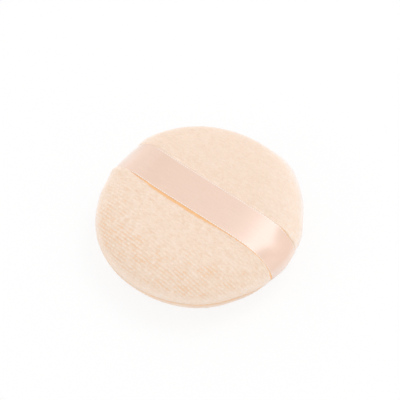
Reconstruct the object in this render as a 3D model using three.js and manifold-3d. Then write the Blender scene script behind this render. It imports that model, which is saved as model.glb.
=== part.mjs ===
// Round velour powder puff with a satin ribbon strap sewn across its top.
// Millimetres, +Z up. +X runs along the ribbon, and the puff rests on its flat underside at z = 0.
import * as THREE from 'three';
import { mergeVertices } from 'three/addons/utils/BufferGeometryUtils.js';
import Module from 'manifold-3d';

const wasm = await Module();
wasm.setup();

// Overall size
const DIAMETER = 66;
const SEAM_HEIGHT = 9.1;
const CROWN_RISE = 9.7;
const FOOT_RADIUS = 17;

// Form of the cushion: a larger fullness is flatter in the middle, a larger roundness is fuller at the rim
const CROWN_FULLNESS = 6;
const FOOT_FULLNESS = 2.6;
const RIM_ROUNDNESS = 1.6;

// Where the ribbon pulls the rim flat at both of its ends
const PULL_DEPTH = 1.5;
const PULL_WIDTH = 14;

// Cloth and ribbon
const COVER_THICKNESS = 1.4;
const ALLOWANCE_THICKNESS = 0.7;
const ALLOWANCE_WIDTH = 6.5;
const RIBBON_WIDTH = 12;
const RIBBON_THICKNESS = 0.35;
const RIBBON_OFFSET = 0.6;

// Threads
const THREAD_DIAMETER = 0.25;
const STITCH_LENGTH = 4;
const STITCH_INSET = 2.6;
const STITCH_LOOP = 0.4;
const CLOSING_LENGTH = 20;
const CLOSING_STITCH = 2.5;
const CLOSING_INSET = 1;
const CLOSING_DEPTH = 0.4;

// Clearances
const RIBBON_CLEARANCE = 0.25;
const TAIL_CLEARANCE = 0.15;
const FOLD_CLEARANCE = 0.1;
const THREAD_CLEARANCE = 0.12;
const CORE_CLEARANCE = 0.3;

// Fineness of the faceted shapes
const SEGMENTS_ROUND = 48;
const OUTER_STEPS = 12;
const INNER_STEPS = 7;
const RIBBON_STEPS = 24;
const BEND_STEPS = 4;
const THREAD_SIDES = 4;

// Sizes that follow from the ones above
const radius = DIAMETER / 2;
const threadRadius = THREAD_DIAMETER / 2;
const topFold = SEAM_HEIGHT + FOLD_CLEARANCE / 2;
const bottomFold = SEAM_HEIGHT - FOLD_CLEARANCE / 2;
const crownTop = SEAM_HEIGHT + CROWN_RISE;
const allowanceRadius = radius - ALLOWANCE_WIDTH;
const threadRoom = THREAD_DIAMETER + 2 * THREAD_CLEARANCE;

// The gap that was left for turning is centred on +Y, and the machine seam runs around the rest of the rim
const closingAngle = CLOSING_LENGTH / radius;
const seamStart = (Math.PI + closingAngle) / 2;
const seamSweep = 2 * Math.PI - closingAngle;
const stitchRadius = radius - STITCH_INSET;
const stitchCount = Math.round((seamSweep * stitchRadius) / STITCH_LENGTH);

// Share of its round reach along X that the puff keeps at a place across the ribbon
function pulledIn(y) {
  return 1 - (PULL_DEPTH / radius) * Math.exp(-(((y - RIBBON_OFFSET) / PULL_WIDTH) ** 2));
}

// A point at a distance from the middle, in the rim's pulled-in outline
function rimPoint(angle, distance, height) {
  const y = distance * Math.sin(angle);
  return new THREE.Vector3(distance * Math.cos(angle) * pulledIn(y), y, height);
}

// The largest share of its reach that the rim keeps under the ribbon, which the ribbon lies across
function shareUnderRibbon() {
  const places = Array.from({ length: 9 }, (_, i) => RIBBON_OFFSET + RIBBON_WIDTH * (i / 8 - 0.5));
  return Math.max(...places.map((y) => Math.sqrt(1 - (y / radius) ** 2) * pulledIn(y)));
}

// Rounded shoulder of the cushion: its height share at a share of its reach, and the way back
function shoulder(reach, fullness) {
  return (1 - reach ** fullness) ** (1 / RIM_ROUNDNESS);
}

function shoulderReach(share, fullness) {
  return (1 - share ** RIM_ROUNDNESS) ** (1 / fullness);
}

// Shares of the reach from 0 to end, closer together towards the rim
function spread(steps, end) {
  const last = Math.asin(end);
  return Array.from({ length: steps + 1 }, (_, i) => Math.sin((last * i) / steps));
}

// Half profile of the crown, from the axis outwards, at an inset from the outer face.
// It stops at a height above the top fold.
function crownProfile(inset, stop, steps) {
  const reach = radius - inset;
  const rise = crownTop - topFold - inset;
  const end = shoulderReach(stop / rise, CROWN_FULLNESS);
  return spread(steps, end).map(
    (s) => new THREE.Vector2(reach * s, topFold + rise * shoulder(s, CROWN_FULLNESS)),
  );
}

// Half profile of the underside, from the axis outwards, with its flat foot.
// It stops at a depth below the bottom fold.
function footProfile(inset, stop, steps) {
  const reach = radius - inset - FOOT_RADIUS;
  const rise = bottomFold - inset;
  const end = shoulderReach(stop / rise, FOOT_FULLNESS);
  const side = spread(steps, end).map(
    (s) => new THREE.Vector2(FOOT_RADIUS + reach * s, bottomFold - rise * shoulder(s, FOOT_FULLNESS)),
  );
  return [new THREE.Vector2(0, inset), ...side];
}

// A body turned about Z, then pulled in at the ribbon's ends
function turned(profile) {
  const geometry = new THREE.LatheGeometry(profile, SEGMENTS_ROUND).rotateX(Math.PI / 2);
  const position = geometry.getAttribute('position');
  for (let i = 0; i < position.count; i += 1) {
    position.setX(i, position.getX(i) * pulledIn(position.getY(i)));
  }
  return geometry;
}

// A closed body ready for cutting, with its corners shared and its flat triangles left out
function toSolid(geometry) {
  const bare = new THREE.BufferGeometry();
  bare.setAttribute('position', geometry.getAttribute('position'));
  bare.setIndex(geometry.getIndex());
  const merged = mergeVertices(bare, 1e-4);
  const corners = merged.getIndex().array;
  const triVerts = [];
  for (let i = 0; i < corners.length; i += 3) {
    const [a, b, c] = corners.slice(i, i + 3);
    if (a !== b && b !== c && c !== a) triVerts.push(a, b, c);
  }
  return new wasm.Manifold(
    new wasm.Mesh({
      numProp: 3,
      vertProperties: new Float32Array(merged.getAttribute('position').array),
      triVerts: new Uint32Array(triVerts),
    }),
  );
}

function toGeometry(solid) {
  const mesh = solid.getMesh();
  const geometry = new THREE.BufferGeometry();
  geometry.setAttribute('position', new THREE.BufferAttribute(mesh.vertProperties, 3));
  geometry.setIndex(new THREE.BufferAttribute(mesh.triVerts, 1));
  geometry.computeVertexNormals();
  return geometry;
}

// Needle holes, one at each stitch, through everything that lies in the seam
function needleHoles() {
  const length = 2 * (STITCH_LOOP + threadRadius + THREAD_CLEARANCE);
  const height = FOLD_CLEARANCE + 2 * ALLOWANCE_THICKNESS + 2 * THREAD_CLEARANCE;
  const holes = Array.from({ length: stitchCount + 1 }, (_, i) => {
    const angle = seamStart + (seamSweep * i) / stitchCount;
    const hole = new THREE.BoxGeometry(threadRoom, length, height).rotateZ(angle);
    const at = rimPoint(angle, stitchRadius, SEAM_HEIGHT);
    return toSolid(hole.translate(at.x, at.y, at.z));
  });
  return wasm.Manifold.union(holes);
}

// Room in the seam for the ribbon's two tails
function tailPockets() {
  const width = RIBBON_WIDTH + 2 * TAIL_CLEARANCE;
  const height = RIBBON_THICKNESS + 2 * TAIL_CLEARANCE;
  return new THREE.BoxGeometry(2 * DIAMETER, width, height).translate(0, RIBBON_OFFSET, SEAM_HEIGHT);
}

// A machine-sewn thread: level runs along the seam, with a loop pushed to the middle at every hole.
// Each stitch has six points, at its hole, on both flanks of the loop and halfway to the next hole.
class SewnLine extends THREE.Curve {
  constructor(runHeight, loopHeight) {
    super();
    this.runHeight = runHeight;
    this.loopHeight = loopHeight;
    const turn = STITCH_LOOP / STITCH_LENGTH;
    this.places = [0, turn / 2, turn, 0.5, 1 - turn, 1 - turn / 2, 1];
    this.depths = [1, 0.6, 0, 0, 0, 0.6, 1];
    this.pointsPerStitch = this.places.length - 1;
  }

  getPoint(t) {
    const along = Math.min(Math.max(t, 0), 1) * stitchCount;
    const stitch = Math.min(Math.floor(along), stitchCount - 1);
    const step = (along - stitch) * this.pointsPerStitch;
    const first = Math.min(Math.floor(step), this.pointsPerStitch - 1);
    const place = THREE.MathUtils.lerp(this.places[first], this.places[first + 1], step - first);
    const depth = THREE.MathUtils.lerp(this.depths[first], this.depths[first + 1], step - first);
    const angle = seamStart + (seamSweep * (stitch + place)) / stitchCount;
    return rimPoint(angle, stitchRadius, THREE.MathUtils.lerp(this.runHeight, this.loopHeight, depth));
  }

  // The points above are used as they are, not spaced evenly along the thread
  getUtoTmapping(u) {
    return u;
  }
}

// A round thread, or the channel for one, along a curve
function thread(path, steps, reach = threadRadius) {
  const corners = Array.from({ length: THREAD_SIDES }, (_, i) => {
    const angle = (2 * Math.PI * (i + 0.5)) / THREAD_SIDES;
    return new THREE.Vector2(Math.cos(angle), Math.sin(angle)).multiplyScalar(reach);
  });
  return new THREE.ExtrudeGeometry(new THREE.Shape(corners), { extrudePath: path, steps });
}

// Thread of the lockstitch, above the seam for side 1 and below it for side -1
function rimThread(side) {
  const runHeight = FOLD_CLEARANCE / 2 + ALLOWANCE_THICKNESS + THREAD_CLEARANCE + threadRadius;
  const loopHeight = THREAD_CLEARANCE / 2 + threadRadius;
  const line = new SewnLine(SEAM_HEIGHT + side * runHeight, SEAM_HEIGHT + side * loopHeight);
  return thread(line, stitchCount * line.pointsPerStitch);
}

// Hand stitch in the turning gap: it runs inside one fold, crosses to the other and runs on.
// The channel for it is wider by the clearance and has a spare stitch at each end.
function closingThread(clearance, spare) {
  const stitches = Math.round(CLOSING_LENGTH / CLOSING_STITCH);
  const start = (Math.PI - closingAngle) / 2;
  const points = [];
  for (let i = -spare; i < stitches + spare; i += 1) {
    const height = SEAM_HEIGHT + (i % 2 === 0 ? CLOSING_DEPTH : -CLOSING_DEPTH);
    for (const place of [i + 0.1, i + 0.9]) {
      points.push(rimPoint(start + (closingAngle * place) / stitches, radius - CLOSING_INSET, height));
    }
  }
  const path = new THREE.CatmullRomCurve3(points, false, 'centripetal');
  return thread(path, 2 * (points.length - 1), threadRadius + clearance);
}

// One face of the ribbon on the +X side, at a distance from the crown: over the crown from the middle,
// around the fold of the top cover and back into the seam
function ribbonFace(distance) {
  const share = shareUnderRibbon();
  const crown = crownProfile(0, 0, RIBBON_STEPS).map((p) => new THREE.Vector2(p.x * share, p.y));
  const rim = radius * share;
  const over = crown.slice(0, -1).map((p, i) => {
    const before = i === 0 ? new THREE.Vector2(-crown[1].x, crown[1].y) : crown[i - 1];
    const along = crown[i + 1].clone().sub(before).normalize();
    return new THREE.Vector2(p.x - along.y * distance, p.y + along.x * distance);
  });
  const bendHeight = SEAM_HEIGHT + RIBBON_THICKNESS / 2 + RIBBON_CLEARANCE;
  const bend = Array.from({ length: BEND_STEPS + 1 }, (_, i) => {
    const angle = (-Math.PI / 2) * (i / BEND_STEPS);
    return new THREE.Vector2(rim + distance * Math.cos(angle), bendHeight + distance * Math.sin(angle));
  });
  return [...over, ...bend, new THREE.Vector2(allowanceRadius * share, bendHeight - distance)];
}

// The ribbon across the crown, flat across its width, with both tails caught in the seam
function ribbon() {
  const mirrored = (points) => points.map((p) => new THREE.Vector2(-p.x, p.y)).reverse();
  const inner = ribbonFace(RIBBON_CLEARANCE);
  const outer = ribbonFace(RIBBON_CLEARANCE + RIBBON_THICKNESS);
  const innerLine = [...mirrored(inner), ...inner.slice(1)];
  const outerLine = [...mirrored(outer), ...outer.slice(1)];
  const outline = new THREE.Shape([...innerLine, ...outerLine.reverse()]);
  const band = new THREE.ExtrudeGeometry(outline, { depth: RIBBON_WIDTH, bevelEnabled: false });
  return band.rotateX(Math.PI / 2).translate(0, RIBBON_OFFSET + RIBBON_WIDTH / 2, 0);
}

// Domed velour cover with its seam allowance turned in
function topCover() {
  return turned([
    ...crownProfile(COVER_THICKNESS, ALLOWANCE_THICKNESS, INNER_STEPS),
    new THREE.Vector2(allowanceRadius, topFold + ALLOWANCE_THICKNESS),
    new THREE.Vector2(allowanceRadius, topFold),
    ...crownProfile(0, 0, OUTER_STEPS).reverse(),
  ]);
}

// Velour cover of the powder side, with the flat foot
function bottomCover() {
  return turned([
    ...footProfile(0, 0, OUTER_STEPS),
    new THREE.Vector2(allowanceRadius, bottomFold),
    new THREE.Vector2(allowanceRadius, bottomFold - ALLOWANCE_THICKNESS),
    ...footProfile(COVER_THICKNESS, ALLOWANCE_THICKNESS, INNER_STEPS).reverse(),
  ]);
}

// Foam filling, pinched around its middle where the seam allowances press into it
function foamCore() {
  const inset = COVER_THICKNESS + CORE_CLEARANCE;
  const pinch = ALLOWANCE_THICKNESS + threadRoom + CORE_CLEARANCE;
  const pinchRadius = allowanceRadius - CORE_CLEARANCE;
  return turned([
    ...footProfile(inset, pinch, INNER_STEPS),
    new THREE.Vector2(pinchRadius, bottomFold - pinch),
    new THREE.Vector2(pinchRadius, topFold + pinch),
    ...crownProfile(inset, pinch, INNER_STEPS).reverse(),
  ]);
}

const velour = { color: '#f7e0cb', roughness: 0.95, metalness: 0 };
const satin = { color: '#f2d5c0', roughness: 0.35, metalness: 0 };
const foam = { color: '#f5ecd9', roughness: 0.9, metalness: 0 };
const cotton = { color: '#f3dac6', roughness: 0.7, metalness: 0 };

const puff = new THREE.Group();

function add(name, solid, finish) {
  const mesh = new THREE.Mesh(toGeometry(solid), new THREE.MeshStandardMaterial(finish));
  mesh.name = name;
  puff.add(mesh);
}

const holes = needleHoles();
const closingChannel = toSolid(closingThread(THREAD_CLEARANCE, 1));
const coverCuts = wasm.Manifold.union([holes, toSolid(tailPockets()), closingChannel]);
add('top_cover', toSolid(topCover()).subtract(coverCuts), velour);
add('bottom_cover', toSolid(bottomCover()).subtract(coverCuts), velour);
add('ribbon_strap', toSolid(ribbon()).subtract(holes), satin);
add('foam_core', toSolid(foamCore()), foam);
add('rim_needle_thread', toSolid(rimThread(1)), cotton);
add('rim_bobbin_thread', toSolid(rimThread(-1)), cotton);
add('closing_thread', toSolid(closingThread(0, 0)), cotton);

export default puff;
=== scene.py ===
"""Powder puff with a satin ribbon strap: velour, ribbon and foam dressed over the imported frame."""
import math

import bpy
import numpy as np
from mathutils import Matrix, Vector


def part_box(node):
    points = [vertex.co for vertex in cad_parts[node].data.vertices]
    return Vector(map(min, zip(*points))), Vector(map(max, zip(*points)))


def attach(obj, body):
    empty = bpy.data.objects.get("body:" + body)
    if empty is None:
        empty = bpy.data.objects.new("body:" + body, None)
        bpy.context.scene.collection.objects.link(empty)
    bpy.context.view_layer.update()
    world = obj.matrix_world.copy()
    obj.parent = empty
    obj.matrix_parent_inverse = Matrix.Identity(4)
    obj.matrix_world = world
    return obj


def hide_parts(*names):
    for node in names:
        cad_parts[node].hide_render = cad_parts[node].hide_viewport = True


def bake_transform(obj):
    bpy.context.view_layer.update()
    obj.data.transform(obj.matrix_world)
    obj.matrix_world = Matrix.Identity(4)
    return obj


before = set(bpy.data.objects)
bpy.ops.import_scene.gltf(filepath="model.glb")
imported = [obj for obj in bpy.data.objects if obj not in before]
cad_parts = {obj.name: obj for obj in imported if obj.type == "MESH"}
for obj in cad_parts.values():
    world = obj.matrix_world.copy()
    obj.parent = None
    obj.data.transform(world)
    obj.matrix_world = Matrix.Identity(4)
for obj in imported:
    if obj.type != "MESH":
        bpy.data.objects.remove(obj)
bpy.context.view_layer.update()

MM = 0.001

# Camera, from the outline and the ribbon's edges in the photograph
IMAGE_PIXELS = 400
AIM_PIXEL = (199.46, 214.38)
PIXELS_PER_MM = 3.207
CAMERA_AZIMUTH = 37.06
CAMERA_ELEVATION = 56.87
CAMERA_DISTANCE = 467.7 * MM
SENSOR_WIDTH = 36

# Soft round lamps: name, direction from the puff, size in metres, watts
LAMPS = (
    ("back_softbox", (0.08, 0.436, 0.895), 0.5, 2.0),
    ("back_right_softbox", (0.31, 0.436, 0.845), 0.55, 0.45),
    ("far_right_softbox", (0.48, 0.56, 0.68), 0.7, 0.42),
    ("front_softbox", (-0.45, -0.80, 0.35), 0.6, 1.25),
    ("left_softbox", (-0.88, 0.40, 0.22), 0.9, 1.2),
    ("right_softbox", (0.90, -0.10, 0.20), 0.9, 0.8),
)
LAMP_DISTANCE = 1.0
HORIZON_LIGHT = 1.04
ZENITH_LIGHT = 0.64
FLOOR_SIZE = 4.0
FLOOR_COLOUR = (0.92, 0.92, 0.92)
FLOOR_GLOW = 0.85
DIFFUSE_BOUNCES = 12
MAX_BOUNCES = 16

# Places and sizes from the frame
top_low, top_high = (Vector(c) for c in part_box("top_cover"))
bottom_high = Vector(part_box("bottom_cover")[1])
ribbon_low, ribbon_high = (Vector(c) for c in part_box("ribbon_strap"))
RADIUS = top_high.y
SEAM_HEIGHT = (top_low.z + bottom_high.z) / 2
CROWN_RISE = top_high.z - SEAM_HEIGHT
RIBBON_WIDTH = ribbon_high.y - ribbon_low.y
RIBBON_OFFSET = (ribbon_high.y + ribbon_low.y) / 2
RIBBON_END = ribbon_high.x

# Form of the cushion. Here and below, a name that ends in SPAN says where a soft change begins and ends.
SECTION_POINTS = 900
FOOT_RADIUS = 17 * MM
CROWN_FULLNESS = 6
FOOT_FULLNESS = 2.95
RIM_ROUNDNESS = 1.6
PULL_LEFT = 1.5 * MM
PULL_RIGHT = 1.0 * MM
PULL_WIDTH = 10.5 * MM
FOOT_PULL = 0.3 * MM
OPEN_SIDE = (0.603, -0.798)
FRONT_RISE = 0.9 * MM
FRONT_SPAN = (0.72, 0.97)
FRONT_RISE_SPAN = (0.8, 1.0)
# Swells and hollows of the rim: azimuth and width in degrees, amount in millimetres
UNEVEN_RIM = (
    (-175, 7, 0.43),
    (-153, 16, -0.85),
    (-95, 22, -0.12),
    (-27, 20, -1.12),
    (-21, 45, 0.73),
    (-1, 7, 0.28),
    (32, 11, -0.68),
    (68, 11, 1.00),
    (108, 29, -0.49),
    (147, 7, -0.10),
    (170, 7, 0.22),
)
UNEVEN_SPAN = (0.4, 0.85)

# Cloth of the covers, their fold and their seam allowance
COVER_CELLS = 440
LINING_CELLS = 44
COVER_THICKNESS = 1.4 * MM
ALLOWANCE_THICKNESS = 0.7 * MM
ALLOWANCE_WIDTH = 6.5 * MM
FOLD_RUN = 1.3 * MM
FOLD_INSET = 0.35 * MM
FOLD_GAP = 0.01 * MM
TURN_WIDTH = 0.5 * MM
TAIL_ROOM = 0.2 * MM
TAIL_ROOM_SPAN = (0, 1.5 * MM)

# Feature size and seed of each kind of chance in the velour
DRIFT_CHANCE = (9 * MM, 5)
WEAR_CHANCE = (2.5 * MM, 11)
SPECK_CHANCE = (0.42 * MM, 21)
CLUMP_CHANCE = (1.2 * MM, 22)
WAVE_CHANCE = (9 * MM, 23)
BRUSH_CHANCES = ((2.2 * MM, 31), (2.2 * MM, 32))
RAGGED_CHANCE = (0.6 * MM, 41)
FIBRE_SEED = 7

# Knit rows and unevenness of the velour
WALE_PITCH = 1.09 * MM
WALE_TURN = math.radians(-5)
WALE_DRIFT = 0.3 * MM
LOOP_PITCH = 1.3 * MM
LOOP_STAGGER = 2.4
STAGGER_STEP = 12.9898
LOOP_GAP = 0.5
ROW_CREST = 0.4
ROW_HEIGHT = 0.14 * MM
ROWS_OPEN_SPAN = (0.42, 0.72)
ROWS_NEAR_SPAN = (0.05, 0.8)
FOOT_ROWS = 0.3
LEAST_ROWS = 0.2
MEAN_WEAR = 0.75
WEAR = 0.5
EDGE_FADE = 0.8
EDGE_SPAN = (0.88, 0.95)
PALE_FADE = 0.8
SPECK_HEIGHT = 0.03 * MM
SPECK_STRETCH = (0.5, 1.0, 1.0)
CLUMP_HEIGHT = 0.03 * MM
WAVE_HEIGHT = 0.12 * MM
GROUND_DEPTH = 0.2 * MM
RIM_SHALLOWER = 0.6
GROUND_SPAN = (0.55, 0.8)
SEAM_SPAN = (0.965, 0.995)

# Tone of the velour: 0 at bare roots, 1 at the palest tips; parts of it are painted shade, sheen and
# light, as marked below
MIDDLE_TONE = 0.48
LOW_TONE = 0.17
# Knit rows: lighter on their crests, darker in the gaps between rows and loops, partly deeper roots
# showing and partly painted shade
ROW_TONE_AND_SHADE = 0.36
ROW_SHADE = 0.1
CLUMP_TONE = 0.08
SPECK_TONE = 0.2
PALE_CALM = 0.6
FAR_CALM = 0.45
FAR_SPAN = (0.0, 0.5)
FOOT_TONE = 0.43
# Painted shade: a deeper tone on the bottom cover toward the open front
FRONT_FOOT_PAINTED_SHADE_TONE = 0.34
FOOT_FRONT_SPAN = (0.2, 0.97)
FOOT_SPAN = (0.5, 0.9)
FOOT_MOTTLE = 0.7
# Painted sheen: how much paler the rim's colour is made
PAINTED_SHEEN_TONE = 0.2
# Painted light: the top cover's colour is made paler toward its right side
RIGHT_PAINTED_LIGHT = 0.13
RIGHT_LIGHT_WAY = (0.8, 0.6)
RIGHT_LIGHT_SPAN = (0.45, 0.9)
# Along the seam: a slightly darker joint all round, and painted shade that darkens it much more at the
# open front
SEAM_SHADE = 0.05
FRONT_SEAM_PAINTED_SHADE = 0.4
SEAM_FRONT_SPAN = (0.8, 0.97)
SEAM_SHADE_SPAN = (0.985, 0.995)

# Painted sheen on the rim of the covers: a paler colour that stands for the pile's sheen at grazing angles
PALE_STRENGTH = 1.1
PALE_BACK_MORE = 0.1
PALE_NEAR_LESS = 0.35
PALE_START = 0.82
PALE_SHIFT = 0.06
PALE_WIDTH = 0.13
PALE_NEAR_NARROWER = 0.06
PALE_NEAR_SPAN = (-0.1, 0.45)
PALE_FAR_SPAN = (0, 0.6)
PALE_BACK_SPAN = (-0.9, -0.4)
FOOT_PAINTED_SHEEN = 0.5
FOOT_PALE_SPAN = (0.6, 0.9)
FOOT_PALE_FRONT_SPAN = (-0.3, 0.97)

# Bare strip beside the ribbon's edges, whose deep root colour also serves as painted shadow of the ribbon
PARTING_WIDTH = 0.2 * MM
PARTING_MIDDLE = 0.55 * MM
PARTING_PLACE = -3 * MM
PARTING_REACH = 13 * MM
PARTING_END = 0.5 * MM
PARTING_END_SPAN = (30.2 * MM, 31.2 * MM)
PARTING_LEFT_SPAN = (-26 * MM, -19 * MM)
FAR_PARTING = 0.1 * MM
FAR_PARTING_SPAN = (12 * MM, 20 * MM)
FAR_PARTING_END = 0.15 * MM
FAR_END_SPAN = (24 * MM, 27 * MM)
FAR_LAST_SPAN = (29 * MM, 31 * MM)
FAR_ROOTS = 0.45
FAR_ROOTS_END = 0.3
FAR_ROOTS_LAST = 0.6
RAGGED_DEPTH = 0.12 * MM
ROOT_SPAN = (-0.1 * MM, 0.3 * MM)
UNDER_SPAN = (-1.5 * MM, -0.3 * MM)
COVERED_SPAN = (22.5 * MM, 25.5 * MM)

# Fibres of the pile
FIBRE_PITCH = 0.34 * MM
FIBRE_JITTER = 0.12 * MM
FIBRE_LENGTH = 0.34 * MM
FIBRE_LENGTHS = (0.6, 1.2)
FIBRE_HEIGHT = 0.1 * MM
FIBRE_HEIGHTS = (0.6, 1.4)
FIBRE_WIDTH = 0.08 * MM
FIBRE_ROOT = 0.05 * MM
FIBRE_LEAN = 0.5
FIBRE_BRUSHED = 0.9
FIBRE_PALER = 0.4
FIBRE_FOOT_PALER = 0.25
SEAM_CLEAR = 0.2 * MM
RIBBON_CLEAR = 0.05 * MM
RIBBON_CLEAR_SPREAD = 0.1 * MM
RIM_LOWER = 0.6
RIM_LOWER_SPAN = (0.65, 0.85)
NEARLY_UPRIGHT = 1e-3

# Ribbon
RIBBON_THICKNESS = 0.14 * MM
RIBBON_STEP = 0.08 * MM
RIBBON_CELLS_ACROSS = 60
TAIL_LENGTH = 6 * MM
TAIL_ROWS = 30
CROWN_LIFT = 0.15 * MM
LEFT_RIM_LIFT = -0.28 * MM
LEFT_LIFT_SPAN = (0.46, 0.64)
RIGHT_RIM_LIFT = -0.1 * MM
RIGHT_LIFT_SPAN = (0.6, 1.0)
BRIDGE_SPAN = (0.72, 0.88)
LEFT_DRIFT = 1.3 * MM
DRIFT_SPAN = (12 * MM, 31 * MM)
STRAIGHT_REACH = 0.93
TURN_SPAN = (0.45, 0.8)
RIGHT_BULGE = 0.7 * MM
BULGE_SPAN = (0.6, 0.85)
BULGE_END_SPAN = (0.95, 1.0)
WEFT_PITCH = 0.42 * MM
WEFT_HEIGHT = 0.0015 * MM
WEFT_SPAN = (0.3 * MM, 1 * MM)
SELVEDGE_HEIGHT = 0.03 * MM
SELVEDGE_BEAD = 0.015 * MM
SELVEDGE_WIDTH = 0.035

# Velour that gives way under the ribbon and swells beside it
EDGE_COVER = 0.6 * MM
EDGE_COVER_SPAN = (16.5 * MM, 24.5 * MM)
UNDER_GAP = 0.05 * MM
PRESS_SPAN = (-0.25 * MM, -0.05 * MM)
PRESS_START = 0.1 * MM
PRESS_END = 1.2 * MM
PRESS_END_COVERED = 0.7 * MM
SWELL_HEIGHT = 0.22 * MM
SWELL_PLACE = 2.6 * MM
SWELL_WIDTH = 1.6 * MM
SWELL_SPAN = (0.4, 0.8)
LEFT_NEAR_LOBE = 0.5 * MM
LEFT_FAR_LOBE = 0.15 * MM
RIGHT_LOBE = 0.4 * MM
LOBE_PLACE = 0.8 * MM
LOBE_WIDTH = 1.2 * MM
LOBE_SPAN = (0.62, 0.78)
LOBE_END_SPAN = (0.9, 1.0)
LOBE_EDGE_SPAN = (-0.2 * MM, 0.5 * MM)

# Foam
FOAM_SIDES = 120
FOAM_RINGS = 40
FOAM_MIDDLE = 0.4 * MM
FOAM_BEVEL = 0.4 * MM
FOAM_EDGE = 0.5 * MM
CORE_GAP = 0.3 * MM

# Colours of the velour, satin, foam and thread
ROOT_PEACH = (0.9, 0.53, 0.265)
DEEP_PEACH = (0.84, 0.668, 0.535)
MIDDLE_PEACH = (0.895, 0.729, 0.602)
TIP_PALE = (0.89, 0.875, 0.875)
DEEP_PLACE = 0.35
MIDDLE_PLACE = 0.6
VELOUR_GRAIN = (0.99, 0.97, 0.95)
VELOUR_GRAIN_SIZE = 0.9 * MM
SATIN_DARK = (0.752, 0.51, 0.376)
SATIN_LIGHT = (0.802, 0.556, 0.413)
SATIN_GRAIN = (0.93, 0.91, 0.89)
SATIN_WEFT = (0.975, 0.965, 0.955)
# Painted reflection of the velour: a warmer colour at the ribbon's right bend
SATIN_BEND_REFLECTION = (0.98, 0.63, 0.47)
# Painted sheen: a paler colour at both ends of the ribbon
SATIN_END_SHEEN = (0.90, 0.80, 0.74)
SATIN_SELVEDGE = (0.90, 0.78, 0.69)
# Foam: its darker colour is painted shade in the cell hollows
FOAM_HOLLOW_SHADE = (0.80, 0.72, 0.56)
FOAM_LIGHT = (0.91, 0.84, 0.69)
FOAM_CELL_SIZE = 0.6 * MM
FOAM_CELL_DEPTH = 0.2 * MM
THREAD_DARK = (0.84, 0.62, 0.47)
THREAD_LIGHT = (0.92, 0.72, 0.58)
THREAD_FIBRE_SIZE = 0.12 * MM
THREAD_FIBRE_DEPTH = 0.03 * MM
WHITE = (1, 1, 1)

# Pattern of the satin, with its places in millimetres along the ribbon or out from its middle line
STREAK_ALONG = 0.12
STREAK_ACROSS = 5.0
SATIN_GRAIN_SIZE = 0.7
SELVEDGE_SPAN = (5.6, 5.8)
SELVEDGE_LEFT_SPAN = (-25, -21)
SELVEDGE_DASH_SPAN = (-0.4, 0.4)
SELVEDGE_DASH = 0.6
# Painted reflection of the velour at the right bend
BEND_REFLECTION_SPAN = (26, 29)
BEND_REFLECTION_SHARE = 0.27
# Painted sheen at both ends of the ribbon
RIGHT_END_SHEEN_SPAN = (33, 35)
RIGHT_END_SHEEN_SHARE = 0.45
LEFT_END_SHEEN_SPAN = (-26, -31)
LEFT_END_SHEEN_SHARE = 0.5


# Node trees

class Tree:
    """The node tree of a material or a world, with a short way to add each kind of node."""

    def __init__(self, owner):
        owner.use_nodes = True
        self.nodes = owner.node_tree.nodes
        self.links = owner.node_tree.links

    def fill(self, socket, value):
        """Set a socket to a number or a colour, or link another node's output to it."""
        if isinstance(value, (int, float)):
            socket.default_value = value
        elif isinstance(value, tuple):
            socket.default_value = (*value, 1)
        else:
            self.links.new(value, socket)

    def math(self, operation, *values):
        node = self.nodes.new("ShaderNodeMath")
        node.operation = operation
        for socket, value in zip(node.inputs, values):
            self.fill(socket, value)
        return node.outputs[0]

    def map_range(self, value, ends):
        """A value carried from one span to another. Ends that aren't given stay 0 and 1."""
        node = self.nodes.new("ShaderNodeMapRange")
        self.fill(node.inputs["Value"], value)
        for name, end in ends.items():
            self.fill(node.inputs[name], end)
        return node.outputs["Result"]

    def step(self, value, low, high):
        return self.map_range(value, {"From Min": low, "From Max": high})

    def split(self, vector):
        node = self.nodes.new("ShaderNodeSeparateXYZ")
        self.links.new(vector, node.inputs[0])
        return node.outputs

    def place(self, kind="Object"):
        return self.nodes.new("ShaderNodeTexCoord").outputs[kind]

    def noise(self, place, size, detail):
        node = self.nodes.new("ShaderNodeTexNoise")
        node.inputs["Scale"].default_value = 1 / size
        node.inputs["Detail"].default_value = detail
        self.links.new(place, node.inputs["Vector"])
        return node.outputs["Fac"]

    def ramp(self, factor, low, high, span=(0.3, 0.7)):
        node = self.nodes.new("ShaderNodeValToRGB")
        for element, position, colour in zip(node.color_ramp.elements, span, (low, high)):
            element.position = position
            element.color = (*colour, 1)
        self.links.new(factor, node.inputs["Fac"])
        return node.outputs["Color"]

    def mix(self, blend, factor, one, two):
        node = self.nodes.new("ShaderNodeMix")
        node.data_type = "RGBA"
        node.blend_type = blend
        for number, value in ((0, factor), (6, one), (7, two)):
            self.fill(node.inputs[number], value)
        return node.outputs[2]

    def bump(self, shader, height, strength, distance):
        node = self.nodes.new("ShaderNodeBump")
        node.inputs["Strength"].default_value = strength
        node.inputs["Distance"].default_value = distance
        self.links.new(height, node.inputs["Height"])
        self.links.new(node.outputs["Normal"], shader.inputs["Normal"])

    def seen(self):
        """1 for what the camera sees directly or in gloss or glass, else 0."""
        path = self.nodes.new("ShaderNodeLightPath")
        total = path.outputs["Is Camera Ray"]
        for ray in ("Is Glossy Ray", "Is Transmission Ray"):
            total = self.math("MAXIMUM", total, path.outputs[ray])
        return total


# Camera, light and floor

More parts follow.
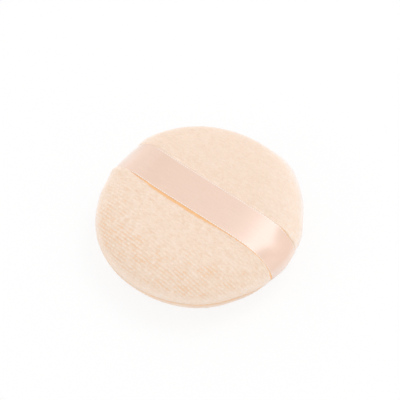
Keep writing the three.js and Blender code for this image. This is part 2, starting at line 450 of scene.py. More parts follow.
def aim_camera():
    """The camera that sees the puff as the photograph does."""
    azimuth, elevation = math.radians(CAMERA_AZIMUTH), math.radians(CAMERA_ELEVATION)
    back = Vector((
        math.sin(azimuth) * math.cos(elevation),
        -math.cos(azimuth) * math.cos(elevation),
        math.sin(elevation),
    ))
    data = bpy.data.cameras.new("photo_camera")
    data.sensor_width = SENSOR_WIDTH
    data.lens = SENSOR_WIDTH * CAMERA_DISTANCE / (IMAGE_PIXELS / PIXELS_PER_MM * MM)
    data.shift_x = (IMAGE_PIXELS / 2 - AIM_PIXEL[0]) / IMAGE_PIXELS
    data.shift_y = (AIM_PIXEL[1] - IMAGE_PIXELS / 2) / IMAGE_PIXELS
    camera = bpy.data.objects.new("photo_camera", data)
    camera.location = Vector((0, 0, SEAM_HEIGHT)) + back * CAMERA_DISTANCE
    camera.rotation_euler = back.to_track_quat("Z", "Y").to_euler()
    bpy.context.collection.objects.link(camera)
    bpy.context.scene.camera = camera


def softbox(name, toward, size, watts):
    """A round soft lamp in a direction from the puff, aimed at it."""
    data = bpy.data.lights.new(name, "AREA")
    data.shape = "DISK"
    data.size = size
    data.energy = watts
    lamp = bpy.data.objects.new(name, data)
    direction = Vector(toward).normalized()
    lamp.location = Vector((0, 0, SEAM_HEIGHT)) + direction * LAMP_DISTANCE
    lamp.rotation_euler = direction.to_track_quat("Z", "Y").to_euler()
    bpy.context.collection.objects.link(lamp)


def light_world():
    """White light from all round, brighter near the horizon, and plain white where it shows."""
    world = bpy.data.worlds.new("studio")
    bpy.context.scene.world = world
    tree = Tree(world)
    background = tree.nodes["Background"]
    background.inputs["Color"].default_value = (*WHITE, 1)
    height = tree.split(tree.place("Generated"))["Z"]
    slope = tree.map_range(height, {"To Min": HORIZON_LIGHT, "To Max": ZENITH_LIGHT})
    strength = tree.map_range(tree.seen(), {"To Min": slope, "To Max": 1})
    tree.links.new(strength, background.inputs["Strength"])


def lay_floor():
    """A pale floor that shows near white to the camera and still takes the puff's shadow."""
    mesh = bpy.data.meshes.new("floor")
    h = FLOOR_SIZE / 2
    mesh.from_pydata([(-h, -h, 0), (h, -h, 0), (h, h, 0), (-h, h, 0)], [], [(0, 1, 2, 3)])
    floor = bpy.data.objects.new("floor", mesh)
    bpy.context.collection.objects.link(floor)
    material = bpy.data.materials.new("floor_paper")
    tree = Tree(material)
    tree.nodes.clear()
    matte = tree.nodes.new("ShaderNodeBsdfDiffuse")
    matte.inputs["Color"].default_value = (*FLOOR_COLOUR, 1)
    white = tree.nodes.new("ShaderNodeEmission")
    mix = tree.nodes.new("ShaderNodeMixShader")
    tree.links.new(tree.math("MULTIPLY", tree.seen(), FLOOR_GLOW), mix.inputs["Fac"])
    tree.links.new(matte.outputs[0], mix.inputs[1])
    tree.links.new(white.outputs[0], mix.inputs[2])
    output = tree.nodes.new("ShaderNodeOutputMaterial")
    tree.links.new(mix.outputs[0], output.inputs["Surface"])
    mesh.materials.append(material)


# Soft steps, noise and meshes

def smooth(value, low, high):
    """0 below low, 1 above high, and a soft step between them."""
    part = np.clip((value - low) / (high - low), 0, 1)
    return part * part * (3 - 2 * part)


def mound(value, place, width, power=2):
    """1 at a place, falling softly to 0 on both sides of it."""
    return np.exp(-(((value - place) / width) ** power))


def noise(points, size, seed):
    """Smooth random values from -1 to 1 at points, with features of a size."""
    cells = 48
    lattice = np.random.default_rng(seed).uniform(-1, 1, (cells, cells, cells))
    scaled = points / size
    low = np.floor(scaled).astype(int)
    part = scaled - low
    part = part * part * (3 - 2 * part)
    value = np.zeros(len(points))
    for corner in np.ndindex(2, 2, 2):
        weight = np.prod(np.where(corner, part, 1 - part), axis=1)
        i, j, k = ((low + corner) % cells).T
        value += weight * lattice[i, j, k]
    return value


def make_object(name, points, face_groups, material, flat_group=None):
    """A mesh object from points and groups of faces, all smooth but for the group with a given number."""
    corners = np.concatenate([group.ravel() for group in face_groups])
    sizes = np.concatenate([np.full(len(group), group.shape[1]) for group in face_groups])
    mesh = bpy.data.meshes.new(name)
    mesh.vertices.add(len(points))
    mesh.vertices.foreach_set("co", points.astype(np.float32).ravel())
    mesh.loops.add(len(corners))
    mesh.loops.foreach_set("vertex_index", corners.astype(np.int32))
    mesh.polygons.add(len(sizes))
    mesh.polygons.foreach_set("loop_start", (np.cumsum(sizes) - sizes).astype(np.int32))
    group = np.repeat(np.arange(len(face_groups)), [len(faces) for faces in face_groups])
    mesh.polygons.foreach_set("use_smooth", group != (-1 if flat_group is None else flat_group))
    mesh.materials.append(material)
    mesh.update(calc_edges=True)
    mesh.validate()
    made = bpy.data.objects.new(name, mesh)
    bpy.context.collection.objects.link(made)
    return made


def grid_faces(rows, columns, start=0):
    """Quads of a grid of rows by columns of points, numbered row by row."""
    i, j = np.meshgrid(np.arange(rows - 1), np.arange(columns - 1), indexing="ij")
    a = start + i * columns + j
    return np.stack([a, a + columns, a + columns + 1, a + 1], axis=-1).reshape(-1, 4)


def ring_faces(one, two):
    """Quads between two rings with the same number of points."""
    return np.stack([one, np.roll(one, -1), np.roll(two, -1), two], axis=1)


def zip_rings(fine, coarse):
    """Triangles between a ring of points and one with fewer, both numbered the same way round."""
    step = len(fine) // len(coarse)
    half = step // 2
    after = np.roll(coarse, -1)
    first_half = np.tile(np.arange(step), len(coarse)) < half
    nearest = np.where(first_half, np.repeat(coarse, step), np.repeat(after, step))
    fans = np.stack([fine, np.roll(fine, -1), nearest], axis=1)
    between = np.stack([fine[half::step], after, coarse], axis=1)
    return np.concatenate([fans, between])


# Form of the two covers. The side is 1 for the top and -1 for the bottom.

def pulled_in(x, y, side=1):
    """Share of its round reach along X that the puff keeps, drawn in at the ribbon's ends."""
    depth = np.where(x < 0, PULL_LEFT, PULL_RIGHT) + (FOOT_PULL if side < 0 else 0)
    return 1 - depth / RADIUS * mound(y, RIBBON_OFFSET, PULL_WIDTH, 4)


def in_plan(x, y, side=1):
    """Plan place of a point of the round puff, once ribbon and filling have drawn it out of round."""
    angle = np.degrees(np.arctan2(y, x))
    swell = 0
    for azimuth, width, amount in UNEVEN_RIM:
        off = (angle - azimuth + 180) % 360 - 180
        swell = swell + amount * MM * mound(off, 0, width)
    scale = 1 + swell / RADIUS * smooth(np.hypot(x, y) / RADIUS, *UNEVEN_SPAN)
    return x * pulled_in(x, y, side) * scale, y * scale


def facing(x, y):
    """1 on the side turned to the open front, 0 square to it and -1 at the back."""
    return (OPEN_SIDE[0] * x + OPEN_SIDE[1] * y) / np.maximum(np.hypot(x, y), MM)


def front_rise(x, y):
    """How much higher the seam runs at the open front."""
    return FRONT_RISE * smooth(facing(x, y), *FRONT_SPAN)


def shoulder(reach, fullness):
    """Height of a rounded cushion by its reach: 1 at its middle and 0 at its rim."""
    return np.clip(1 - reach ** fullness, 0, 1) ** (1 / RIM_ROUNDNESS)


def cover_section(side, inset=0.0, fold=FOLD_INSET):
    """Half section of a cover from its middle to its fold: run, radius, height over the seam, normal."""
    reach = np.sin(np.linspace(0, math.pi / 2, SECTION_POINTS))
    if side > 0:
        radius = (RADIUS - inset) * reach
        rise = (CROWN_RISE - FOLD_GAP - inset) * shoulder(reach, CROWN_FULLNESS)
    else:
        flat = np.linspace(0, FOOT_RADIUS, SECTION_POINTS // 3, endpoint=False)
        drop = (SEAM_HEIGHT - FOLD_GAP - inset) * shoulder(reach, FOOT_FULLNESS)
        radius = np.concatenate([flat, FOOT_RADIUS + (RADIUS - inset - FOOT_RADIUS) * reach])
        rise = np.concatenate([np.full(len(flat), drop[0]), drop])
    run = np.concatenate([[0], np.cumsum(np.hypot(np.diff(radius), np.diff(rise)))])
    turn = np.clip((run - run[-1] + FOLD_RUN) / FOLD_RUN, 0, 1)
    radius = radius - fold * turn ** 2
    out, up = -np.gradient(rise, run), np.gradient(radius, run)
    size = np.hypot(out, up)
    return run, radius, rise + FOLD_GAP, out / size, up / size


def on_cover(section, side, run, angle):
    """Points and outward normals of a cover at a run from its middle and an angle around it."""
    radius, rise, out, up = (np.interp(run, section[0], part) for part in section[1:])
    x, y = radius * np.cos(angle), radius * np.sin(angle)
    higher = front_rise(x, y) * smooth(run / section[0][-1], *FRONT_RISE_SPAN)
    points = np.stack([*in_plan(x, y, side), SEAM_HEIGHT + side * rise + higher], axis=1)
    normal = np.stack([out * np.cos(angle), out * np.sin(angle), side * up], axis=1)
    return points, normal / np.linalg.norm(normal, axis=1, keepdims=True)


# The ribbon's place on the top cover

def ribbon_middle(x):
    """Place across the puff of the ribbon's middle line, which runs a little askew at the left end."""
    return RIBBON_OFFSET + LEFT_DRIFT * smooth(-x, *DRIFT_SPAN)


def beside_ribbon(x, y):
    """Distance out from the ribbon's edge, below 0 under the ribbon."""
    return np.abs(y - ribbon_middle(x)) - RIBBON_WIDTH / 2


def edge_cover(x):
    """How far the pile closes over the ribbon's edges, at the left end only."""
    return EDGE_COVER * smooth(-x, *EDGE_COVER_SPAN)


def ribbon_lift(x, share):
    """Height of the ribbon's middle plane over the smooth cover, by its share of the way to the rim."""
    left = CROWN_LIFT + (LEFT_RIM_LIFT - CROWN_LIFT) * smooth(share, *LEFT_LIFT_SPAN)
    right = CROWN_LIFT + (RIGHT_RIM_LIFT - CROWN_LIFT) * smooth(share, *RIGHT_LIFT_SPAN)
    return np.where(x < 0, left, right)


def bridged(x, y):
    """Extra height of the ribbon, which lies straight across its width where the cover is domed."""
    reach = np.linspace(0, 1, SECTION_POINTS)
    rise = CROWN_RISE * shoulder(reach, CROWN_FULLNESS)
    middle = np.interp(np.hypot(x, RIBBON_OFFSET) / RADIUS, reach, rise)
    there = np.interp(np.hypot(x, y) / RADIUS, reach, rise)
    return (middle - there) * (1 - smooth(np.abs(x) / RADIUS, *BRIDGE_SPAN))


def parting(x, y):
    """Width of the bare strip beside the ribbon, where its edge holds the pile down and its painted shadow
    falls.
    """
    middle = PARTING_MIDDLE * mound(x, PARTING_PLACE, PARTING_REACH, 4)
    near = PARTING_WIDTH + middle + PARTING_END * smooth(x, *PARTING_END_SPAN)
    far = FAR_PARTING * smooth(x, *FAR_PARTING_SPAN) + FAR_PARTING_END * smooth(x, *FAR_END_SPAN)
    return np.where(y < ribbon_middle(x), near * smooth(x, *PARTING_LEFT_SPAN), far)


# Velour

def ground_depth(share):
    """Depth of the pile's roots under the smooth cover, less toward the rim."""
    return GROUND_DEPTH * (1 - RIM_SHALLOWER * smooth(share, *GROUND_SPAN))


def pressed(points, share):
    """How far the velour of the top gives way under the ribbon and swells beside it."""
    x, y = points[:, 0], points[:, 1]
    beside = beside_ribbon(x, y)
    over = edge_cover(x)
    under_half = (RIBBON_THICKNESS / 2 + UNDER_GAP) * (1 - smooth(beside, *PRESS_SPAN))
    room = ribbon_lift(x, share) + bridged(x, y) - under_half + ground_depth(share)
    press_end = np.where(over > 0, PRESS_END_COVERED, PRESS_END)
    under = room * (1 - smooth(beside + over, PRESS_START, press_end))
    swell = SWELL_HEIGHT * mound(beside, SWELL_PLACE, SWELL_WIDTH) * smooth(share, *SWELL_SPAN)
    ends = smooth(share, *LOBE_SPAN) * (1 - smooth(share, *LOBE_END_SPAN))
    left_lobe = np.where(y < ribbon_middle(x), LEFT_NEAR_LOBE, LEFT_FAR_LOBE)
    lobe = np.where(x < 0, left_lobe, RIGHT_LOBE) * ends
    lobe = lobe * mound(beside, LOBE_PLACE, LOBE_WIDTH) * smooth(beside + over, *LOBE_EDGE_SPAN)
    return under + swell + lobe


def painted_rim_sheen(side, share, x, y):
    """1 on the rim, where the pile is short and dense and its colour is painted paler as sheen, and 0 away
    from it.
    """
    toward = facing(x, y)
    if side < 0:
        behind = 1 - smooth(toward, *FOOT_PALE_FRONT_SPAN)
        # Painted sheen on the bottom cover's rim, less toward the open front
        return FOOT_PAINTED_SHEEN * smooth(share, *FOOT_PALE_SPAN) * behind
    near = smooth(toward, *PALE_NEAR_SPAN)
    start = PALE_START - PALE_SHIFT * smooth(-toward, *PALE_FAR_SPAN) + PALE_SHIFT * near
    width = PALE_WIDTH - PALE_NEAR_NARROWER * near
    strength = PALE_STRENGTH - PALE_BACK_MORE * smooth(toward, *PALE_BACK_SPAN) - PALE_NEAR_LESS * near
    return strength * smooth(share, start, start + width)


def knit_rows(points, along, across):
    """Rows of loops in the knit, from their crests down to the gaps between loops and between rows."""
    drift = noise(points, *DRIFT_CHANCE) * WALE_DRIFT
    wale = (across * math.cos(WALE_TURN) - along * math.sin(WALE_TURN) + drift) / WALE_PITCH
    course = (along * math.cos(WALE_TURN) + across * math.sin(WALE_TURN)) / LOOP_PITCH
    stagger = LOOP_STAGGER * np.sin(STAGGER_STEP * np.round(wale))
    between_rows = (0.5 - 0.5 * np.cos(2 * math.pi * wale)) ** 2
    between_loops = LOOP_GAP * (0.5 - 0.5 * np.cos(2 * math.pi * course + stagger)) ** 2
    return ROW_CREST - np.maximum(between_rows, between_loops)


def knit(side, points, share, along, across):
    """Height of the pile over the smooth cover and its tone, 0 deep in the rows and 1 at the tips, with
    painted shade in the row gaps and at the front of the bottom cover, painted sheen on the rim and
    painted light on the right side.
    """
    x, y = points[:, 0], points[:, 1]
    rows = knit_rows(points, along, across)
    opened = smooth(share, *ROWS_OPEN_SPAN) * smooth(-y / RADIUS, *ROWS_NEAR_SPAN)
    opened = opened * (1 if side > 0 else FOOT_ROWS)
    pale = painted_rim_sheen(side, share, x, y)
    fade = np.maximum(PALE_FADE * pale, EDGE_FADE * smooth(share, *EDGE_SPAN))
    worn = MEAN_WEAR + WEAR * noise(points, *WEAR_CHANCE)
    shown = (LEAST_ROWS + (1 - LEAST_ROWS) * opened) * (1 - fade) * worn
    clumps = noise(points, *CLUMP_CHANCE)
    specks = noise(points * SPECK_STRETCH, *SPECK_CHANCE)
    height = (
        ROW_HEIGHT * rows * shown
        + SPECK_HEIGHT * specks
        + CLUMP_HEIGHT * clumps
        + WAVE_HEIGHT * noise(points, *WAVE_CHANCE)
    )
    mottle = (CLUMP_TONE * clumps + SPECK_TONE * specks) * (1 - PALE_CALM * pale)
    # Painted sheen: a paler colour on the rim
    paler = PAINTED_SHEEN_TONE * pale
    if side > 0:
        tone = MIDDLE_TONE
        mottle = mottle * (1 - FAR_CALM * smooth(y / RADIUS, *FAR_SPAN))
        # Painted light: paler toward the right side
        right = (RIGHT_LIGHT_WAY[0] * x + RIGHT_LIGHT_WAY[1] * y) / RADIUS
        paler = paler + RIGHT_PAINTED_LIGHT * smooth(right, *RIGHT_LIGHT_SPAN)
    else:
        # Painted shade: a deeper tone toward the open front
        front = smooth(facing(x, y), *FOOT_FRONT_SPAN) * smooth(share, *FOOT_SPAN)
        tone = FOOT_TONE + (FRONT_FOOT_PAINTED_SHADE_TONE - FOOT_TONE) * front
        mottle = FOOT_MOTTLE * mottle
    # Rows lighter on the crests and darker in the gaps, partly roots showing and partly painted shade,
    # stronger on the near shoulder
    tone = tone + (ROW_TONE_AND_SHADE * rows - ROW_SHADE) * shown + mottle
    return height, np.maximum(tone, LOW_TONE) + paler


def bare_roots_and_shadow(points):
    """1 on the bare strip by the ribbon's near edge, less by its far edge, and 0 where the pile stands;
    the deep root colour there is partly bare roots and partly painted shadow of the ribbon.
    """
    x, y = points[:, 0], points[:, 1]
    beside = beside_ribbon(x, y)
    ragged = RAGGED_DEPTH * noise(points, *RAGGED_CHANCE)
    covered = 2 * EDGE_COVER * smooth(-x, *COVERED_SPAN)
    roots = 1 - smooth(beside - parting(x, y) + covered + ragged, *ROOT_SPAN)
    roots = roots * smooth(beside, *UNDER_SPAN)
    far = FAR_ROOTS + FAR_ROOTS_END * smooth(x, *FAR_END_SPAN) - FAR_ROOTS_LAST * smooth(x, *FAR_LAST_SPAN)
    return np.where(y < ribbon_middle(x), 1, far) * roots


def velour_ground(side, run, angle):
    """Points, normals and tones of a cover's outer face."""
    section = cover_section(side)
    points, normal = on_cover(section, side, run, angle)
    share = run / section[0][-1]
    height, tone = knit(side, points, share, run * np.cos(angle), run * np.sin(angle))
    height = (height - ground_depth(share)) * (1 - smooth(share, *SEAM_SPAN))
    # Darker along the seam: a joint all round, and painted shade at the open front
    front = smooth(facing(points[:, 0], points[:, 1]), *SEAM_FRONT_SPAN)
    shade = (SEAM_SHADE + FRONT_SEAM_PAINTED_SHADE * front) * smooth(share, *SEAM_SHADE_SPAN)
    tone = tone * (1 - shade)
    if side > 0:
        height = height + pressed(points, share)
        # Deep root colour beside the ribbon: bare roots, and painted shadow of its edge
        tone = tone * (1 - bare_roots_and_shadow(points))
    points = points + normal * height[:, None]
    points[:, 2] = np.maximum(points[:, 2], GROUND_DEPTH)
    return points, normal, np.clip(tone, 0, 1)


def round_square(cells):
    """Points of a square grid drawn onto a disc of radius 1, row by row, as share and angle."""
    a, b = np.meshgrid(np.linspace(-1, 1, cells + 1), np.linspace(-1, 1, cells + 1), indexing="ij")
    x = (a * np.sqrt(1 - b * b / 2)).ravel()
    y = (b * np.sqrt(1 - a * a / 2)).ravel()
    return np.hypot(x, y), np.arctan2(y, x)


def square_rim(cells):
    """Numbers of the square grid's outer points, once around."""
    n = cells + 1
    first = np.arange(cells)
    return np.concatenate([first * n, cells * n + first, (cells - first) * n + cells, cells - first])


def set_tips(made, values):
    """Keep each point's tone, 0 at the roots and 1 at the tips, which also carries painted shade, sheen
    and light.
    """
    made.data.attributes.new("tip", "FLOAT", "POINT").data.foreach_set("value", values)


def allowance_rings(side, edge):
    """Rings of points on the turned-in allowance: by the fold, on both sides of its cut edge, and back."""
    turned = RADIUS - FOLD_INSET - TURN_WIDTH
    cut = RADIUS - ALLOWANCE_WIDTH
    back = RADIUS - 2 * COVER_THICKNESS
    rings = []
    for reach, height, rising in (
        (turned, 0, 1),
        (cut, 0, 0),
        (cut, ALLOWANCE_THICKNESS, 0),
        (back, ALLOWANCE_THICKNESS, 0),
    ):
        x, y = reach * np.cos(edge), reach * np.sin(edge)
        beside = np.abs(y - RIBBON_OFFSET) - RIBBON_WIDTH / 2
        room = FOLD_GAP + TAIL_ROOM * (1 - smooth(beside, *TAIL_ROOM_SPAN))
        z = SEAM_HEIGHT + side * (room + height) + rising * front_rise(x, y)
        rings.append(np.stack([*in_plan(x, y, side), z], axis=1))
    return rings


def velour_cover(name, side, material):
    """A velour cover: outer face, turned-in seam allowance and inner face, in one closed body."""
    share, angle = round_square(COVER_CELLS)
    outer, _, tone = velour_ground(side, share * cover_section(side)[0][-1], angle)
    lining_share, lining_angle = round_square(LINING_CELLS)
    lining_rim = square_rim(LINING_CELLS)
    allowance = allowance_rings(side, lining_angle[lining_rim])
    section = cover_section(side, COVER_THICKNESS)
    lining, _ = on_cover(section, side, lining_share * section[0][-1], lining_angle)
    lowest = SEAM_HEIGHT + side * (ALLOWANCE_THICKNESS + 2 * TAIL_ROOM)
    lining[:, 2] = side * np.maximum(side * lining[:, 2], side * lowest)

    around = len(lining_rim)
    lining_start = len(outer) + len(allowance) * around
    rings = [len(outer) + k * around + np.arange(around) for k in range(len(allowance))]
    rings.append(lining_rim + lining_start)
    faces = [
        grid_faces(COVER_CELLS + 1, COVER_CELLS + 1),
        zip_rings(square_rim(COVER_CELLS), rings[0]),
        *(ring_faces(one, two) for one, two in zip(rings, rings[1:])),
        grid_faces(LINING_CELLS + 1, LINING_CELLS + 1, lining_start)[:, ::-1],
    ]
    if side < 0:
        faces = [group[:, ::-1] for group in faces]
    made = make_object(name, np.concatenate([outer, *allowance, lining]), faces, material)
    inside = np.zeros(len(made.data.vertices) - len(outer))
    set_tips(made, np.concatenate([tone, inside]))
    return made


def velour_pile(name, side, material):
    """Fibres of the pile standing on a cover, each a small closed spike, paler at its tip."""
    rng = np.random.default_rng(FIBRE_SEED + side)
    length = cover_section(side)[0][-1]
    lines = np.arange(-length, length, FIBRE_PITCH)
    u, v = (
        part.ravel() + rng.normal(0, FIBRE_JITTER, len(lines) ** 2)
        for part in np.meshgrid(lines, lines)
    )
    run, angle = np.hypot(u, v), np.arctan2(v, u)
    keep = run < length - SEAM_CLEAR
    run, angle = run[keep], angle[keep]
    points, normal, tone = velour_ground(side, run, angle)
    if side > 0:
        x, y = points[:, 0], points[:, 1]
        clear = parting(x, y) - edge_cover(x)
        clear = clear + rng.normal(RIBBON_CLEAR, RIBBON_CLEAR_SPREAD, len(points))
        keep = beside_ribbon(x, y) > clear
        points, normal, tone, run = points[keep], normal[keep], tone[keep], run[keep]

    count = len(points)
    first = np.cross(normal, [0.0, 0.0, 1.0])
    upright = np.linalg.norm(first, axis=1) < NEARLY_UPRIGHT
    first[upright] = [1.0, 0.0, 0.0]
    first /= np.linalg.norm(first, axis=1, keepdims=True)
    second = np.cross(normal, first)
    brushed = np.stack([noise(points, *chance) for chance in BRUSH_CHANCES], axis=1)
    lean = rng.normal(0, FIBRE_LEAN, (count, 2)) + FIBRE_BRUSHED * brushed
    lean *= (FIBRE_LENGTH / np.linalg.norm(lean, axis=1) * rng.uniform(*FIBRE_LENGTHS, count))[:, None]
    lower = RIM_LOWER * smooth(run / length, *RIM_LOWER_SPAN)
    height = FIBRE_HEIGHT * rng.uniform(*FIBRE_HEIGHTS, count) * (1 - lower)
    corners = [points + normal * height[:, None] + first * lean[:, :1] + second * lean[:, 1:]]
    twist = rng.uniform(0, 2 * math.pi, count)
    for third in range(3):
        around = twist + third * 2 * math.pi / 3
        foot = first * np.cos(around)[:, None] + second * np.sin(around)[:, None]
        corners.append(points + foot * FIBRE_WIDTH - normal * FIBRE_ROOT)
    places = np.stack(corners, axis=1).reshape(-1, 3)
    places[:, 2] = np.maximum(places[:, 2], 0)
    start = np.arange(count) * 4
    faces = np.concatenate([
        np.stack([start + a, start + b, start + c], axis=1)
        for a, b, c in ((0, 1, 2), (0, 2, 3), (0, 3, 1), (1, 3, 2))
    ])
    made = make_object(name, places, [faces], material, flat_group=0)
    high = np.clip(tone + FIBRE_PALER, 0, 1)
    low = np.clip(tone + FIBRE_FOOT_PALER, 0, 1)
    set_tips(made, np.stack([high, low, low, low], axis=1).ravel())
    return made


# Ribbon. The side is 1 for its right half and -1 for its left half.

def ribbon_plane(side, across):
    """Middle plane of half the ribbon on the cover: points, normals and the run of each row."""
    section = cover_section(1, fold=0)
    run, radius = section[0], section[1]
    length = run[-1]
    share = np.linspace(0, 1, int(length / RIBBON_STEP) + 1)
    widest = np.argmax(radius)
    x_middle = np.interp(share * length, run, radius)
    y = ribbon_middle(side * x_middle)[:, None] + across[None, :] * RIBBON_WIDTH / 2
    reach = np.minimum(np.hypot(x_middle[:, None], y), STRAIGHT_REACH * RADIUS)
    by_place = np.interp(reach, radius[:widest], run[:widest])
    start = np.interp(np.abs(y), radius[:widest], run[:widest])
    by_share = start + share[:, None] * (length - start)
    blend = smooth(share, *TURN_SPAN)[:, None]
    place = ((1 - blend) * by_place + blend * by_share).ravel()
    y_all = y.ravel()
    r_all = np.maximum(np.interp(place, run, radius), np.abs(y_all))
    angle = np.arcsin(np.clip(y_all / r_all, -1, 1))
    points, normal = on_cover(section, 1, place, angle if side > 0 else math.pi - angle)
    share_all = np.repeat(share, len(across))
    lift = ribbon_lift(side * np.ones(len(points)), share_all)
    if side > 0:
        arch = smooth(share, *BULGE_SPAN) * (1 - smooth(share, *BULGE_END_SPAN))
        lift = lift + (RIGHT_BULGE * arch[:, None] * (1 - across[None, :] ** 2)).ravel()
    lift = lift + bridged(points[:, 0], points[:, 1])
    points = points + normal * lift[:, None]
    points[share_all == 0, 0] = 0
    return points, normal, share * length


def ribbon_half(name, side, material):
    """Half of the ribbon, from its middle to the tail in the seam, as a closed band."""
    across = np.linspace(-1, 1, RIBBON_CELLS_ACROSS + 1)
    columns = len(across)
    middle, normal, along = ribbon_plane(side, across)
    tail = np.linspace(0, 1, TAIL_ROWS + 1)[1:]
    inward = np.repeat(middle[None, -columns:], TAIL_ROWS, axis=0)
    inward[:, :, 0] -= side * tail[:, None] * TAIL_LENGTH
    inward[:, :, 2] = SEAM_HEIGHT
    middle = np.concatenate([middle, inward.reshape(-1, 3)])
    down = np.tile([0.0, 0.0, -1.0], (TAIL_ROWS * columns, 1))
    normal = np.concatenate([normal, down])
    along = np.concatenate([along, along[-1] + tail * TAIL_LENGTH])
    total = len(along)

    weft = WEFT_HEIGHT * np.cos(2 * math.pi * along / WEFT_PITCH) * smooth(along, *WEFT_SPAN)
    bead = SELVEDGE_HEIGHT + SELVEDGE_BEAD * np.cos(math.pi * along / WEFT_PITCH)
    selvedge = bead[:, None] * mound(np.abs(across), 1, SELVEDGE_WIDTH)[None, :]
    thick = (RIBBON_THICKNESS / 2 + weft[:, None] + selvedge).ravel()
    places = np.concatenate([middle + normal * thick[:, None], middle - normal * thick[:, None]])
    top = grid_faces(total, columns)
    bottom = grid_faces(total, columns, total * columns)[:, ::-1]
    loop = np.concatenate([
        np.arange(columns - 1),
        np.arange(total - 1) * columns + columns - 1,
        (total - 1) * columns + columns - 1 - np.arange(columns - 1),
        (total - 1 - np.arange(total - 1)) * columns,
    ])
    faces = [top, bottom, ring_faces(loop, loop + total * columns)]
    if side < 0:
        faces = [group[:, ::-1] for group in faces]
    made = make_object(name, places, faces, material, flat_group=2)

    weave_along = np.repeat(along * side, columns)
    weave_across = np.tile(across * RIBBON_WIDTH / 2, total)
    weave = np.stack([weave_along, weave_across], axis=1) / MM
    corner = np.zeros(len(made.data.loops), dtype=int)
    made.data.loops.foreach_get("vertex_index", corner)
    layer = made.data.uv_layers.new(name="weave")
    layer.data.foreach_set("uv", np.tile(weave, (2, 1))[corner].ravel())
    return made


# Foam

def foam_core(name, material):
    """The cut foam disc inside the covers, notched where the seam allowances reach in."""
    around = np.linspace(0, 2 * math.pi, FOAM_SIDES, endpoint=False)
    clear = ALLOWANCE_THICKNESS + 2 * TAIL_ROOM + CORE_GAP
    notch = RADIUS - ALLOWANCE_WIDTH - CORE_GAP
    lines = []
    for side in (1, -1):
        run, radius, rise, _, _ = cover_section(side, COVER_THICKNESS + CORE_GAP)
        last = np.argmax(rise < clear + FOAM_EDGE)
        stops = np.linspace(FOAM_MIDDLE, run[last], FOAM_RINGS)
        line = list(zip(np.interp(stops, run, radius), np.interp(stops, run, rise)))
        line += [(radius[last] - FOAM_BEVEL, clear), (notch, clear)]
        lines.append([(reach, SEAM_HEIGHT + side * height) for reach, height in line])
    profile = lines[0] + lines[1][::-1]
    points = []
    for reach, height in profile:
        x, y = reach * np.cos(around), reach * np.sin(around)
        points.append(np.stack([*in_plan(x, y), np.full(len(y), height)], axis=1))
    rings = [np.arange(len(around)) + k * len(around) for k in range(len(profile))]
    faces = [ring_faces(two, one) for one, two in zip(rings, rings[1:])]
    faces += [rings[0][None], rings[-1][None, ::-1]]
    return make_object(name, np.concatenate(points), faces, material)


# Materials

def new_material(name):
    """A material, its node tree and its shader."""
    material = bpy.data.materials.new(name)
    tree = Tree(material)
    return material, tree, tree.nodes["Principled BSDF"]


def set_inputs(shader, values):
    for name, value in values.items():
        shader.inputs[name].default_value = value


def velour_material():
    """Deep peach at the roots of the pile and paler toward its tips."""
    material, tree, shader = new_material("peach_velour")
    place = tree.place()
    tip = tree.nodes.new("ShaderNodeAttribute")
    tip.attribute_name = "tip"
    tone = tree.ramp(tip.outputs["Fac"], ROOT_PEACH, TIP_PALE, (0.0, 1.0))
    for position, colour in ((DEEP_PLACE, DEEP_PEACH), (MIDDLE_PLACE, MIDDLE_PEACH)):
        tone.node.color_ramp.elements.new(position).color = (*colour, 1)
    grain = tree.ramp(tree.noise(place, VELOUR_GRAIN_SIZE, 3), VELOUR_GRAIN, WHITE)
    tree.links.new(tree.mix("MULTIPLY", 1, tone, grain), shader.inputs["Base Color"])
    set_inputs(shader, {
        "Roughness": 0.95,
        "Specular IOR Level": 0.05,
        "Sheen Weight": 0.9,
        "Sheen Roughness": 0.35,
        "Sheen Tint": (1, 0.97, 0.96, 1),
    })
    return material


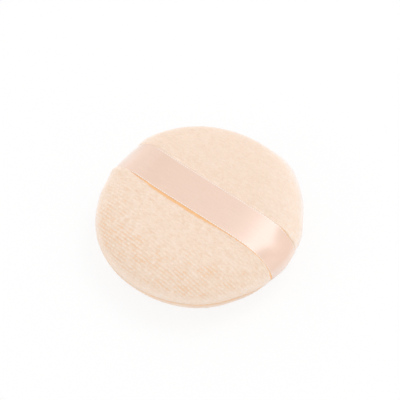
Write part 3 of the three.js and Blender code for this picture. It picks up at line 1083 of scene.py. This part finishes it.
def satin_material():
    """Satin with fine warp streaks and weft lines and a paler dashed selvedge, with a painted reflection
    of the velour at its right bend and painted sheen at both ends.
    """
    material, tree, shader = new_material("peach_satin")
    weave = tree.nodes.new("ShaderNodeUVMap")
    weave.uv_map = "weave"
    parts = tree.split(weave.outputs[0])
    along, across = parts["X"], parts["Y"]

    stretched = tree.nodes.new("ShaderNodeCombineXYZ")
    tree.links.new(tree.math("MULTIPLY", along, STREAK_ALONG), stretched.inputs[0])
    tree.links.new(tree.math("MULTIPLY", across, STREAK_ACROSS), stretched.inputs[1])
    base = tree.ramp(tree.noise(stretched.outputs[0], 1.0, 2), SATIN_DARK, SATIN_LIGHT)
    grain = tree.noise(weave.outputs[0], SATIN_GRAIN_SIZE, 2)
    base = tree.mix("MULTIPLY", grain, base, SATIN_GRAIN)
    weft = tree.math("SINE", tree.math("MULTIPLY", along, 2 * math.pi * MM / WEFT_PITCH))
    base = tree.mix("MULTIPLY", tree.step(weft, -1, 1), base, SATIN_WEFT)

    # Painted reflection of the velour: warmer at the right bend
    bend_reflection = tree.math("MULTIPLY", tree.step(along, *BEND_REFLECTION_SPAN), BEND_REFLECTION_SHARE)
    base = tree.mix("MIX", bend_reflection, base, SATIN_BEND_REFLECTION)
    # Painted sheen: paler toward both ends
    right_end_sheen = tree.math("MULTIPLY", tree.step(along, *RIGHT_END_SHEEN_SPAN), RIGHT_END_SHEEN_SHARE)
    left_end_sheen = tree.math("MULTIPLY", tree.step(along, *LEFT_END_SHEEN_SPAN), LEFT_END_SHEEN_SHARE)
    base = tree.mix("MIX", tree.math("ADD", left_end_sheen, right_end_sheen), base, SATIN_END_SHEEN)

    dash = tree.math("SINE", tree.math("MULTIPLY", along, math.pi * MM / WEFT_PITCH))
    dash = tree.step(dash, *SELVEDGE_DASH_SPAN)
    dash = tree.math("MULTIPLY_ADD", dash, SELVEDGE_DASH, 1 - SELVEDGE_DASH)
    selvedge = tree.step(tree.math("ABSOLUTE", across), *SELVEDGE_SPAN)
    selvedge = tree.math("MULTIPLY", selvedge, dash)
    selvedge = tree.math("MULTIPLY", selvedge, tree.step(along, *SELVEDGE_LEFT_SPAN))
    base = tree.mix("MIX", selvedge, base, SATIN_SELVEDGE)

    tree.links.new(base, shader.inputs["Base Color"])
    set_inputs(shader, {
        "Roughness": 0.38,
        "IOR": 1.83,
        "Specular IOR Level": 1.0,
        "Specular Tint": (0.94, 0.95, 1, 1),
        "Sheen Weight": 0.7,
        "Sheen Roughness": 0.3,
        "Sheen Tint": (1, 0.97, 0.95, 1),
    })
    return material


def foam_material():
    """Open cells, with painted shade in their hollows."""
    material, tree, shader = new_material("open_cell_foam")
    cells = tree.nodes.new("ShaderNodeTexVoronoi")
    cells.inputs["Scale"].default_value = 1 / FOAM_CELL_SIZE
    tree.links.new(tree.place(), cells.inputs["Vector"])
    # Painted shade: darker toward the middle of each cell
    tone = tree.ramp(cells.outputs["Distance"], FOAM_HOLLOW_SHADE, FOAM_LIGHT)
    tree.links.new(tone, shader.inputs["Base Color"])
    tree.bump(shader, cells.outputs["Distance"], 0.8, FOAM_CELL_DEPTH)
    set_inputs(shader, {"Roughness": 0.9})
    return material


def thread_material():
    """Spun thread with fine fibres."""
    material, tree, shader = new_material("spun_thread")
    twist = tree.noise(tree.place(), THREAD_FIBRE_SIZE, 1)
    tree.links.new(tree.ramp(twist, THREAD_DARK, THREAD_LIGHT), shader.inputs["Base Color"])
    tree.bump(shader, twist, 0.5, THREAD_FIBRE_DEPTH)
    set_inputs(shader, {"Roughness": 0.7})
    return material


# Camera, light and floor in place

aim_camera()
for lamp in LAMPS:
    softbox(*lamp)
light_world()
lay_floor()
bpy.context.scene.cycles.diffuse_bounces = DIFFUSE_BOUNCES
bpy.context.scene.cycles.max_bounces = MAX_BOUNCES

# The pieces

velour = velour_material()
top = velour_cover("velour_top", 1, velour)
bottom = velour_cover("velour_bottom", -1, velour)
top_pile = velour_pile("pile_top", 1, velour)
bottom_pile = velour_pile("pile_bottom", -1, velour)
satin = satin_material()
left = ribbon_half("ribbon_left", -1, satin)
right = ribbon_half("ribbon_right", 1, satin)
core = foam_core("foam_filling", foam_material())

# What each piece rides on and stands for

for piece, pile, node in ((top, top_pile, "top_cover"), (bottom, bottom_pile, "bottom_cover")):
    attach(piece, "puff")
    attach(pile, "puff")
    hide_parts(node)
for piece, end in ((left, -RIBBON_END), (right, RIBBON_END)):
    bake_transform(piece)
    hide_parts("ribbon_strap")
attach(core, "puff")
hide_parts("foam_core")
thread = thread_material()
for node in ("rim_needle_thread", "rim_bobbin_thread", "closing_thread"):
    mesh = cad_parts[node].data
    mesh.materials.clear()
    mesh.materials.append(thread)

bpy.context.scene.view_settings.view_transform = "Standard"
